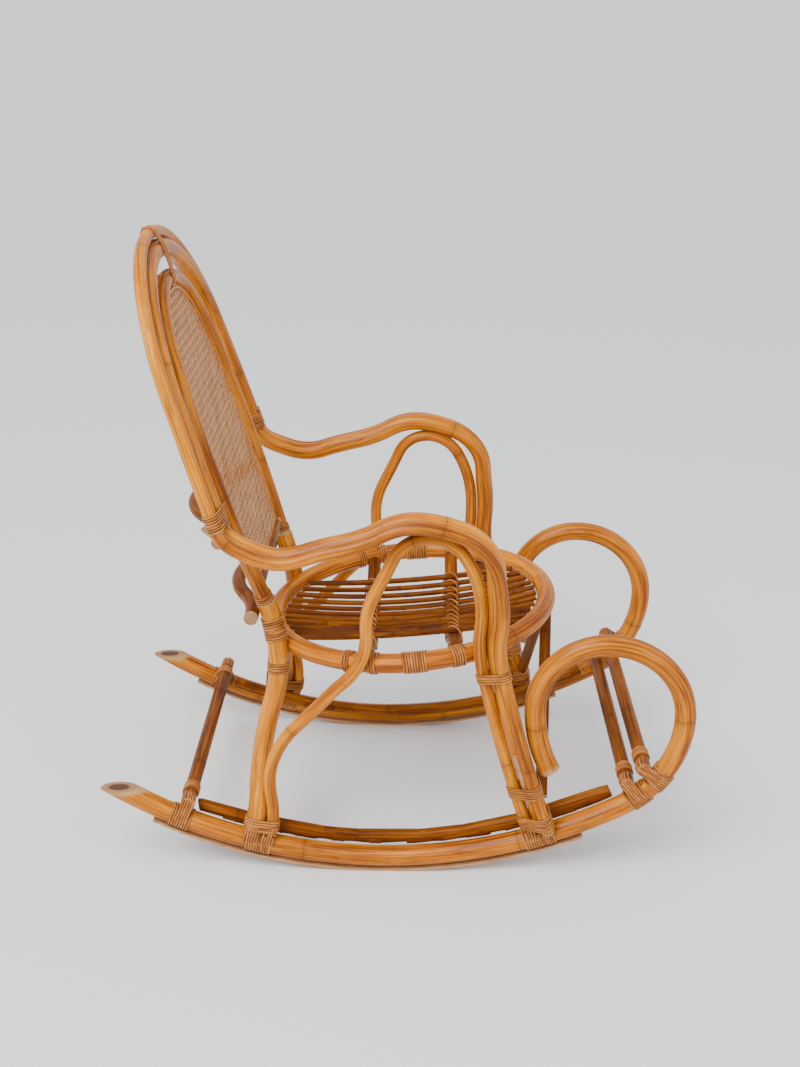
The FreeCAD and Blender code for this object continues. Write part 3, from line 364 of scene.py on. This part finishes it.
def pastCuts(points, ends, radius):  # carries a bar's line past its end cuts as an arc
    for point, normal in ends:  # the first turn of the list brings the first end last
        points.reverse()
        beside = cutLength(point, normal, points, radius)
        clear = beside + 0.5 * radius
        while (points[-1] - point).length < clear and (points[-2] - point).length < 6 * radius:
            points.pop()
        line = Line(list(points))
        step = min(2 * radius, line.total / 2)
        a, b, c = (line.at(line.total - k * step)[0] for k in (2, 1, 0))
        turn, stride = (b - a).rotation_difference(c - b), c - b
        for _ in range(math.ceil((2 * beside + 3 * radius) / step)):
            stride = turn @ stride
            c = c + stride
            points.append(c)
    return points


def roundRing(spots):  # points round a ring, in order, about its own middle
    middle = sum(spots, Vector()) / len(spots)
    axis = (spots[0] - middle).cross(spots[len(spots) // 3] - middle).normalized()
    side = (spots[0] - middle).normalized()
    up = axis.cross(side)
    size = sum((spot - middle).length for spot in spots) / len(spots)
    spokes = reading["spokes"]
    turns = (math.atan2((spot - middle).dot(up), (spot - middle).dot(side)) for spot in spots)
    found = {round(turn * spokes / math.tau) % spokes for turn in turns}
    return [middle + (side * math.cos(k * math.tau / spokes) + up * math.sin(k * math.tau / spokes)) * size
            for k in sorted(found)]


def placed(point, x, y, z):  # a place with its three directions
    place = Matrix((x, y, z)).transposed().to_4x4()
    place.translation = point
    return place


def gather(whole, part):  # adds a finished part to a piece
    mesh = bpy.data.meshes.new("part")
    part.to_mesh(mesh)
    part.free()
    whole.from_mesh(mesh)
    bpy.data.meshes.remove(mesh)


def layersOf(bm):
    for name in ("poleTone", "poleNode", "poleBare"):
        bm.verts.layers.float.new(name)
    bm.verts.layers.float_vector.new("poleCo")
    floats = bm.verts.layers.float
    return bm.verts.layers.float_vector["poleCo"], floats["poleTone"], floats["poleNode"]


# Sweeps the closed outline in bm along frames: (place, scale, along, tone, distance from a growth ring).
def sweep(bm, frames, closed=False):
    coLayer, toneLayer, nodeLayer = layersOf(bm)
    rings, before = [], None
    for place, scale, along, tone, joint in frames:
        now = place @ Matrix.Diagonal((scale, scale, 1, 1))
        if before is None:
            edges = list(bm.edges)
            verts = list(bm.verts)
            bmesh.ops.transform(bm, matrix=now, verts=verts)
        else:
            made = bmesh.ops.extrude_edge_only(bm, edges=edges)["geom"]
            verts = [g for g in made if isinstance(g, bmesh.types.BMVert)]
            edges = [g for g in made if isinstance(g, bmesh.types.BMEdge)
                     and all(v in verts for v in g.verts)]
            bmesh.ops.transform(bm, matrix=now @ before.inverted(), verts=verts)
        back = place.inverted()
        for v in verts:
            local = back @ v.co
            v[coLayer] = (local.x, local.y, along)
            v[toneLayer] = tone
            v[nodeLayer] = joint
        rings.append((verts, edges))
        before = now
    if closed:
        bmesh.ops.bridge_loops(bm, edges=rings[0][1] + rings[-1][1])
    return rings


# Poles: a circle swept along the bar's line, swollen at the growth rings and cut by the bar's end planes.
pole = {"firstRing": (0.15, 0.9), "ringGap": (0.75, 1.2), "ringMargin": 0.05, "ringReach": 0.008,
        "ringCore": 0.0008, "ringDip": 0.2,
        "ringSteps": (-0.008, -0.0035, -0.0012, 0.0, 0.0012, 0.0035, 0.008),
        "wobble": 0.010, "wobbleRate": 9, "tone": 0.06, "offset": 40,
        "bare": 0.0012, "trim": 12, "bevel": 0.05, "sharp": 38}


def poleMesh(line, ends, look, seed):
    rng = random.Random(seed)
    joints, place = [], rng.uniform(*pole["firstRing"]) * look["gap"]
    while place < line.total - pole["ringMargin"]:
        joints.append(place)
        place += look["gap"] * rng.uniform(*pole["ringGap"])
    count = max(int(line.total / look["step"]), 2)
    places = [line.total * k / count for k in range(count + (not line.closed))]
    places = [p for p in places if all(abs(p - j) > pole["ringReach"] for j in joints)]
    places += [j + d for j in joints for d in pole["ringSteps"]]
    places.sort()
    offset = rng.uniform(0, pole["offset"])
    shade = rng.uniform(-pole["tone"], pole["tone"]) * look.get("vary", 1)
    frames, side, before = [], None, None
    for s in places:
        point, heading = line.at(s)
        if side is None:
            side = heading.orthogonal().normalized()
        else:
            side = before.rotation_difference(heading) @ side
        before = heading
        joint = min((abs(s - j) for j in joints), default=1.0)
        swell = look["swell"] * max(0.0, 1 - joint / pole["ringReach"])
        scale = 1 + swell * (1 if joint > pole["ringCore"] else pole["ringDip"])
        scale *= 1 + pole["wobble"] * noise.noise(Vector((s * pole["wobbleRate"], offset, 0)))
        frames.append((placed(point, side, heading.cross(side), heading), scale, s + offset, shade, joint))
    bm = bmesh.new()
    bmesh.ops.create_circle(bm, segments=look["sides"], radius=look["radius"])
    rings = sweep(bm, frames, line.closed)
    for number, end in enumerate(ends):
        tip, span = number * line.total, pole["trim"] * look["radius"]
        near = {v for s, (verts, edges) in zip(places, rings) if abs(s - tip) < span
                for v in verts if v.is_valid}
        trimEnd(bm, near, end, look)
    bmesh.ops.recalc_face_normals(bm, faces=bm.faces)
    return bm


def trimEnd(bm, near, end, look):  # cuts a pole by its end plane and closes it
    point, normal = end
    bareLayer = bm.verts.layers.float["poleBare"]
    for v in near:
        reach = max(0.0, 1 + normal.dot(v.co - point) / look.get("bare", pole["bare"]))
        v[bareLayer] = reach * look.get("wear", 1)
    local = [*near, *{e for v in near for e in v.link_edges}, *{f for v in near for f in v.link_faces}]
    cut = bmesh.ops.bisect_plane(bm, geom=local, plane_co=point, plane_no=normal, clear_outer=True)
    rim = [g for g in cut["geom_cut"] if isinstance(g, bmesh.types.BMEdge)]
    bmesh.ops.edgeloop_fill(bm, edges=rim, mat_nr=1)
    bmesh.ops.bevel(bm, geom=rim, offset=pole["bevel"] * look["radius"], offset_type="OFFSET", segments=2,
                    profile=0.5, affect="EDGES", material=-1, clamp_overlap=True)


def makePiece(whole, name, finishes, replaced, slot):
    mesh = bpy.data.meshes.new(name)
    whole.to_mesh(mesh)
    whole.free()
    mesh.shade_smooth()
    mesh.set_sharp_from_angle(angle=math.radians(pole["sharp"]))
    for finish in finishes:
        mesh.materials.append(finish)
    piece = bpy.data.objects.new(name, mesh)
    bpy.context.scene.collection.objects.link(piece)
    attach(piece, "root")
    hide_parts(*replaced)


poleBars = {}  # each pole's centre line, ends and radius, for the lashings


def makePole(name, look):
    whole = bmesh.new()
    for number, (line, ends) in enumerate(readBars(name, look["radius"], look.get("closed", False))):
        gather(whole, poleMesh(line, ends, look, name + str(number)))
        poleBars[name] = (line, ends, look["radius"])
    makePiece(whole, name + "Pole", (look["finish"], look.get("end", rawEnd)), [name], look["slot"])


bothSides = ("right", "left")
stretcherNames = ("rear_stretcher", "front_stretcher", "toe_stretcher")
runner = {"radius": 0.0175, "sides": 28, "step": 0.009, "gap": 0.46, "swell": 0.008, "finish": golden,
          "slot": "rattan", "end": hollowEnd, "bare": 0.013}
rail = {"radius": 0.0105, "sides": 20, "step": 0.010, "gap": 0.22, "swell": 0.018, "finish": brown,
        "slot": "brown_rattan"}
for side in bothSides:
    makePole(side + "_runner", runner)
    makePole(side + "_rail", rail)
print("runners and rails")

stretcher = {"radius": 0.012, "sides": 24, "step": 0.016, "gap": 0.24, "swell": 0.02, "finish": brown,
             "slot": "brown_rattan"}
for name in stretcherNames:
    makePole(name, stretcher)
print("stretchers")

seatRim = {"radius": 0.016, "sides": 28, "step": 0.010, "gap": 0.46, "swell": 0.008, "finish": orange,
           "slot": "rim_rattan", "closed": True}
crossbar = {"radius": 0.012, "sides": 22, "step": 0.010, "gap": 0.21, "swell": 0.02, "finish": brown,
            "slot": "brown_rattan", "end": brown, "wear": 0}
rod = {"radius": 0.0048, "sides": 14, "step": 0.012, "gap": 0.19, "swell": 0.03, "finish": rodBrown,
       "slot": "rod_rattan", "vary": 1.6, "end": rodBrown, "wear": 0, "count": 11}
makePole("seat_rim", seatRim)
for name in ("rear_crossbar", "front_crossbar"):
    makePole(name, crossbar)
for number in range(rod["count"]):
    makePole("seat_rod_%02d" % (number + 1), rod)
print("seat")

rearLeg = {"radius": 0.0165, "sides": 28, "step": 0.009, "gap": 0.36, "swell": 0.009, "finish": golden,
           "slot": "rattan"}
arm = {"radius": 0.0155, "sides": 28, "step": 0.008, "gap": 0.44, "swell": 0.009, "finish": golden,
       "slot": "rattan"}
armTrim = {"radius": 0.0105, "sides": 22, "step": 0.008, "gap": 0.40, "swell": 0.010, "finish": golden,
           "slot": "rattan"}
brace = {"radius": 0.0105, "sides": 22, "step": 0.008, "gap": 0.40, "swell": 0.010, "finish": golden,
         "slot": "thin_rattan"}
prop = {"radius": 0.010, "sides": 20, "step": 0.014, "gap": 0.20, "swell": 0.02, "finish": brown,
        "slot": "brown_rattan"}
for side in bothSides:
    makePole(side + "_rear_leg", rearLeg)
    makePole(side + "_arm", arm)
    makePole(side + "_arm_trim", armTrim)
    makePole(side + "_arm_brace", brace)
    makePole(side + "_front_prop", prop)
    makePole(side + "_rear_prop", prop)
print("legs, arms and braces")

panelHoop = {"radius": 0.013, "sides": 24, "step": 0.009, "gap": 0.42, "swell": 0.009, "finish": golden,
             "slot": "rattan"}
bottomRail = {"radius": 0.0075, "sides": 18, "step": 0.014, "gap": 0.19, "swell": 0.02, "finish": brown,
              "slot": "brown_rattan"}
bead = {"radius": 0.004, "sides": 12, "step": 0.010, "gap": 0.25, "swell": 0.02, "finish": golden,
        "slot": "thin_rattan"}
bow = {"radius": 0.012, "sides": 22, "step": 0.009, "gap": 0.22, "swell": 0.018, "finish": brown,
       "slot": "brown_rattan"}
makePole("panel_hoop", panelHoop)
makePole("panel_bottom_rail", bottomRail)
makePole("cane_bead", bead)
makePole("back_hoop", arm)  # the same canes as the arms
makePole("back_trim", armTrim)
makePole("upper_back_bow", bow)
makePole("lower_back_bow", bow)
print("back")


def ribbon(outline, wide, thick, frames):  # a strand of flat cane, closed at both ends
    bm = bmesh.new()
    corners = [bm.verts.new((x * wide, y * thick, 0)) for x, y in outline]
    for a, b in zip(corners, corners[1:] + corners[:1]):
        bm.edges.new((a, b))
    rings = sweep(bm, frames)
    for verts, edges in (rings[0], rings[-1]):
        bmesh.ops.edgeloop_fill(bm, edges=edges)
    bmesh.ops.recalc_face_normals(bm, faces=bm.faces)
    return bm


# Bindings: half-round cane laid along the wound strands of the CAD nodes, its flat side to the poles.
binding = {"radius": 0.0013, "wide": 0.0041, "thick": 0.0026, "sink": 0.0003, "step": 0.0045, "turn": 0.13,
           "slot": "binding"}
stitch = {"radius": 0.0013, "wide": 0.0034, "thick": 0.0022, "sink": 0.0, "step": 0.004, "turn": 0.06,
          "slot": "binding"}
strand = {"tone": 0.14, "outline": ((-0.5, -0.5), (0.5, -0.5), (0.48, -0.15), (0.32, 0.3), (0.0, 0.5),
                                    (-0.32, 0.3), (-0.48, -0.15))}


def strandMesh(line, look, seed):
    offset = random.Random(seed).uniform(0, pole["offset"])
    count = max(int(line.total / look["step"]), 4)
    places = [line.total * k / count for k in range(count + 1)]
    points = [line.at(s)[0] for s in places]
    window = max(int(look["turn"] / look["step"] / 2), 2)
    frames = []
    for k, s in enumerate(places):
        point, heading = line.at(s)
        near = points[max(k - window, 0):k + window + 1]
        out = point - sum(near, Vector()) / len(near)  # away from the middle of the turn
        out -= heading * out.dot(heading)
        out.normalize()
        shade = strand["tone"] * noise.noise(Vector((s / look["turn"], offset, 3.0)))
        place = placed(point - out * look["sink"], out.cross(heading), out, heading)
        frames.append((place, 1.0, s + offset, shade, 1.0))
    return ribbon(strand["outline"], look["wide"], look["thick"], frames)


# Lashings: strands that come up from a runner's binding and cover the ends of the poles that stand there.
lash = {"pitch": 0.0043, "lift": 0.0014, "tuck": 0.0012, "tries": 800,
        "capStart": (-0.002, 0.004), "capBulge": 0.002, "capTurn": (0.8, 0.6),
        "capOver": (0.003, 0.014, 0.026),
        "footStart": (-0.001, 0.005), "footClimb": (0.006, 0.012, 0.020),
        "feet": {"rear_foot": ("rear_leg", "arm_brace"), "front_foot": ("arm", "arm_brace", "arm_trim")}}


def runnerSpot(side, point):  # the runner's middle nearest a point, and the ways along, out and up there
    line, ends, radius = poleBars[side + "_runner"]
    places = (line.total * k / lash["tries"] for k in range(lash["tries"] + 1))
    centre, along = line.at(min(places, key=lambda s: (line.at(s)[0] - point).length))
    out = Vector((0, -1 if side == "right" else 1, 0))
    up = along.cross(out)
    return centre, along, out, up if up.z > 0 else -up, radius


def stretcherLash(name, side):
    line, ends, radius = poleBars[name]
    tip = min((end[0] for end in ends), key=lambda p: p.y if side == "right" else -p.y)
    centre, along, out, up, runnerRadius = runnerSpot(side, tip)
    lift, tuck = lash["lift"], lash["tuck"]
    face, level = (tip - centre).dot(out), (tip - centre).dot(up)
    low, high = lash["capStart"]
    under, over = lash["capTurn"]
    brim, crest, back = lash["capOver"]
    count = int(2 * radius / lash["pitch"])
    for k in range(count):
        d = (k - (count - 1) / 2) * lash["pitch"]
        crown = math.sqrt(radius ** 2 - d ** 2)
        section = ((runnerRadius - tuck, low), (runnerRadius + lift, high),
                   (face + lift + lash["capBulge"], level - under * crown), (face + lift, level),
                   (face + lift, level + over * crown), (face - brim, level + crown + lift),
                   (face - crest, level + crown + lift), (face - back, level + crown - tuck))
        middle = centre + along * ((tip - centre).dot(along) + d)
        yield Line([middle + out * o + up * n for o, n in section])


def footLash(place, side):
    low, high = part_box(place + "_bindings")
    corner = Vector(((low[0] + high[0]) / 2, low[1] if side == "right" else high[1], low[2]))
    tips = []
    for name in lash["feet"][place]:
        line, ends, radius = poleBars[side + "_" + name]
        tips.append((min((end[0] for end in ends), key=lambda p: (p - corner).length), radius))
    middle = sum((tip for tip, radius in tips), Vector()) / len(tips)
    centre, along, out, up, runnerRadius = runnerSpot(side, middle)
    lift, tuck = lash["lift"], lash["tuck"]
    feet = [((tip - centre).dot(along), (tip - centre).dot(out), radius) for tip, radius in tips]
    foot = min((tip - centre).dot(up) for tip, radius in tips)
    first, last = min(d - r for d, o, r in feet), max(d + r for d, o, r in feet)
    start, rise = lash["footStart"], lash["footClimb"]
    count = int((last - first) / lash["pitch"]) - 1
    for k in range(count):
        d = first + (last - first) * (k + 1) / (count + 1)
        face = max((o + math.sqrt(r ** 2 - (d - at) ** 2) for at, o, r in feet if abs(d - at) < r),
                   default=runnerRadius) + lift
        section = ((runnerRadius - tuck, start[0]), (runnerRadius + lift, start[1]), (face, foot + rise[0]),
                   (face, foot + rise[1]), (face - tuck, foot + rise[2]))
        yield Line([centre + along * d + out * o + up * n for o, n in section])


def lashLines(name):
    place = name.removesuffix("_bindings")
    for side in bothSides:
        if place in stretcherNames:
            yield from stretcherLash(place, side)
        elif place in lash["feet"]:
            yield from footLash(place, side)


bindingNames = [name for name in nodes if name.endswith(("_bindings", "_binding", "_stitching"))]
for name in bindingNames:
    look = stitch if name == "rod_stitching" else binding
    whole = bmesh.new()
    for number, (line, ends) in enumerate(readBars(name, look["radius"])):
        gather(whole, strandMesh(line, look, name + str(number)))
    for number, line in enumerate(lashLines(name)):
        gather(whole, strandMesh(line, look, name + "lash" + str(number)))
    makePiece(whole, name + "Cane", (bindingCane,), [name], look["slot"])
print("bindings:", len(bindingNames))


# Cane panel: pairs of upright and level strands with two slants woven through them.
cane = {"pitch": 0.0127, "pair": 0.0034, "wide": 0.0026, "slantWide": 0.0031, "thick": 0.0008,
        "lift": 0.0005, "slantLift": 2.2, "pairs": 40, "slants": 90, "tone": (-0.16, 0.12), "slot": "cane",
        "outline": ((-0.5, -0.5), (0.5, -0.5), (0.4, 0.5), (-0.4, 0.5))}


def panelSheet():  # the panel's place and its outline, read from the sheet with its grid of openings
    mesh = nodes["cane_panel"].data
    front = max((face for face in mesh.polygons if face.normal.x > 0.5), key=lambda face: face.area)
    across, normal = Vector((0, 1, 0)), front.normal.copy()
    up = normal.cross(across)
    depths = [v.co.dot(normal) for v in mesh.vertices]
    rises = [v.co.dot(up) for v in mesh.vertices]
    middle = normal * (min(depths) + max(depths)) / 2 + up * (min(rises) + max(rises)) / 2
    flat = [Vector(((v.co - middle).dot(across), (v.co - middle).dot(up))) for v in mesh.vertices]
    return placed(middle, across, up, normal), [flat[k] for k in geometry.convex_hull_2d(flat)]


def clipped(outline, start, way):  # how far along a line lies inside a convex outline
    low, high = -9.0, 9.0  # far past the panel
    sides = list(zip(outline, outline[1:] + outline[:1]))
    turn = sum(a[0] * b[1] - a[1] * b[0] for a, b in sides)
    for a, b in sides:
        inward = Vector((a[1] - b[1], b[0] - a[0])) * (1 if turn > 0 else -1)
        speed = inward.dot(way)
        room = inward.dot(start - a)
        if abs(speed) > 1e-9:
            if speed > 0:
                low = max(low, -room / speed)
            else:
                high = min(high, -room / speed)
        elif room < 0:
            return 0.0, 0.0
    return low, high


def weave(whole, start, way, wide, height, seed):  # one strand across the panel, where it is long enough
    low, high = clipped(sheetOutline, start, way)
    if high - low <= cane["pitch"] / 2:
        return
    count = max(round((high - low) / (cane["pitch"] / 2)), 1)
    rng = random.Random(seed)
    offset, shade = rng.uniform(0, pole["offset"]), rng.uniform(*cane["tone"])
    frames = []
    for k in range(count + 1):
        s = low + (high - low) * k / count
        spot = start + way * s
        place = placed((spot.x, spot.y, height), (way.y, -way.x, 0), (0, 0, 1), (way.x, way.y, 0))
        frames.append((sheetPlace @ place, 1.0, s + offset, shade, 1.0))
    gather(whole, ribbon(cane["outline"], wide, cane["thick"], frames))


sheetPlace, sheetOutline = panelSheet()
whole = bmesh.new()
for k in range(-cane["pairs"], cane["pairs"] + 1):
    for half in (-1, 1):  # one upright of a pair lies in front of the level strands, the other behind
        shift = k * cane["pitch"] + half * cane["pair"] / 2
        front = cane["lift"] * half
        weave(whole, Vector((shift, 0)), Vector((0, 1)), cane["wide"], front, str((k, half, 1)))
        weave(whole, Vector((0, shift)), Vector((1, 0)), cane["wide"], 0.0, str((k, half, -1)))
for k in range(-cane["slants"], cane["slants"] + 1):
    for lean in (-1, 1):
        start, way = Vector(((k + 0.5) * cane["pitch"], 0)), Vector((1, lean)).normalized()
        front = cane["slantLift"] * cane["lift"] * lean
        weave(whole, start, way, cane["slantWide"], front, str((k, lean)))
makePiece(whole, "wovenPanel", (panelCane,), ["cane_panel"], cane["slot"])
print("cane panel")


# Strips, nails and peg keep their CAD shapes.
split = {"grain": (18, 700, 260), "blotch": (30, 60, 60), "rough": (0.45, 0.7), "bump": (0.5, 0.0006),
         "stops": ((0.3, (0.20, 0.085, 0.030)), (0.5, (0.42, 0.21, 0.080)), (0.75, (0.60, 0.36, 0.16)))}
nail = {"rust": (900, 900, 900), "steel": (0.30, 0.28, 0.26, 1), "brown": (0.16, 0.07, 0.03, 1)}


def splitFinish():
    f = Finish("splitCane")
    co = f.objectPlace()
    grain = f.clouds(co, split["grain"], 4)
    blotch = f.clouds(co, split["blotch"], 3)
    colour = f.ramp(split["stops"], grain * 0.6 + blotch * 0.4)
    return f.surface({"Base Color": colour, "Roughness": f.between(grain, 0.3, 0.7, *split["rough"]),
                      "Normal": f.bump(grain, *split["bump"])})


def nailFinish():
    f = Finish("nailSteel")
    rust = f.between(f.clouds(f.objectPlace(), nail["rust"], 4), 0.45, 0.62)
    colour = f.mixed(rust, nail["steel"], nail["brown"])
    return f.surface({"Base Color": colour, "Metallic": 1 - rust * 0.8, "Roughness": rust * 0.4 + 0.35})


splitCane, nailSteel = splitFinish(), nailFinish()
for name, finish in (("right_wear_strip", splitCane), ("left_wear_strip", splitCane),
                     ("right_leg_peg", splitCane), ("strip_nails", nailSteel)):
    nodes[name].data.materials.clear()
    nodes[name].data.materials.append(finish)
print("strips, nails and peg")

# Studio: a pale floor, soft lights and the photo's camera.
studio = {"floor": 1200.0, "floorTone": (0.75, 0.75, 0.745, 1), "floorRough": 0.9,
          "world": (0.95, 0.97, 1.0, 1), "worldPower": 1.1,
          "lights": {"keyLight": ((-1.3, -2.2, 3.0), 1.8, 95), "fillLight": ((2.4, -1.8, 1.9), 1.6, 16)},
          "aim": (0, 0, 0.5), "skyPower": 1.7, "skySpread": 50, "skyTurn": (28, -18, 0),
          "lens": 46.52, "place": (0.02714, -2.2349, 1.3972), "pitch": 21.53, "yaw": -0.67, "roll": -0.53}
scene = bpy.context.scene
floorMesh = bpy.data.meshes.new("floor")
bm = bmesh.new()
bmesh.ops.create_grid(bm, x_segments=1, y_segments=1, size=studio["floor"] / 2)
bm.to_mesh(floorMesh)
bm.free()
floor = bpy.data.objects.new("floor", floorMesh)
scene.collection.objects.link(floor)
paleFloor = Finish("paleFloor").surface({"Base Color": studio["floorTone"], "Roughness": studio["floorRough"]})
floorMesh.materials.append(paleFloor)

world = bpy.data.worlds.new("studio")
scene.world = world
world.use_nodes = True
background = world.node_tree.nodes["Background"]
background.inputs["Color"].default_value = studio["world"]
background.inputs["Strength"].default_value = studio["worldPower"]
for name, (place, width, power) in studio["lights"].items():
    lamp = bpy.data.lights.new(name, "AREA")
    lamp.shape = "DISK"
    lamp.size = width
    lamp.energy = power
    shone = bpy.data.objects.new(name, lamp)
    shone.location = place
    shone.rotation_euler = (Vector(studio["aim"]) - Vector(place)).to_track_quat("-Z", "Y").to_euler()
    scene.collection.objects.link(shone)

sky = bpy.data.lights.new("skyLight", "SUN")  # even light, however far the floor goes
sky.energy = studio["skyPower"]
sky.angle = math.radians(studio["skySpread"])
skyLamp = bpy.data.objects.new("skyLight", sky)
skyLamp.rotation_euler = [math.radians(turn) for turn in studio["skyTurn"]]
scene.collection.objects.link(skyLamp)

pitch, yaw, roll = (math.radians(studio[key]) for key in ("pitch", "yaw", "roll"))
ahead = Vector((math.sin(yaw) * math.cos(pitch), math.cos(yaw) * math.cos(pitch), -math.sin(pitch)))
right = Vector((math.cos(yaw), -math.sin(yaw), 0))
down = ahead.cross(right)
rolledRight = right * math.cos(roll) + down * math.sin(roll)
rolledDown = down * math.cos(roll) - right * math.sin(roll)
camera = bpy.data.objects.new("photoCamera", bpy.data.cameras.new("photoCamera"))
camera.data.lens = studio["lens"]
camera.matrix_world = placed(studio["place"], rolledRight, -rolledDown, -ahead)
scene.collection.objects.link(camera)
scene.camera = camera
print("studio")
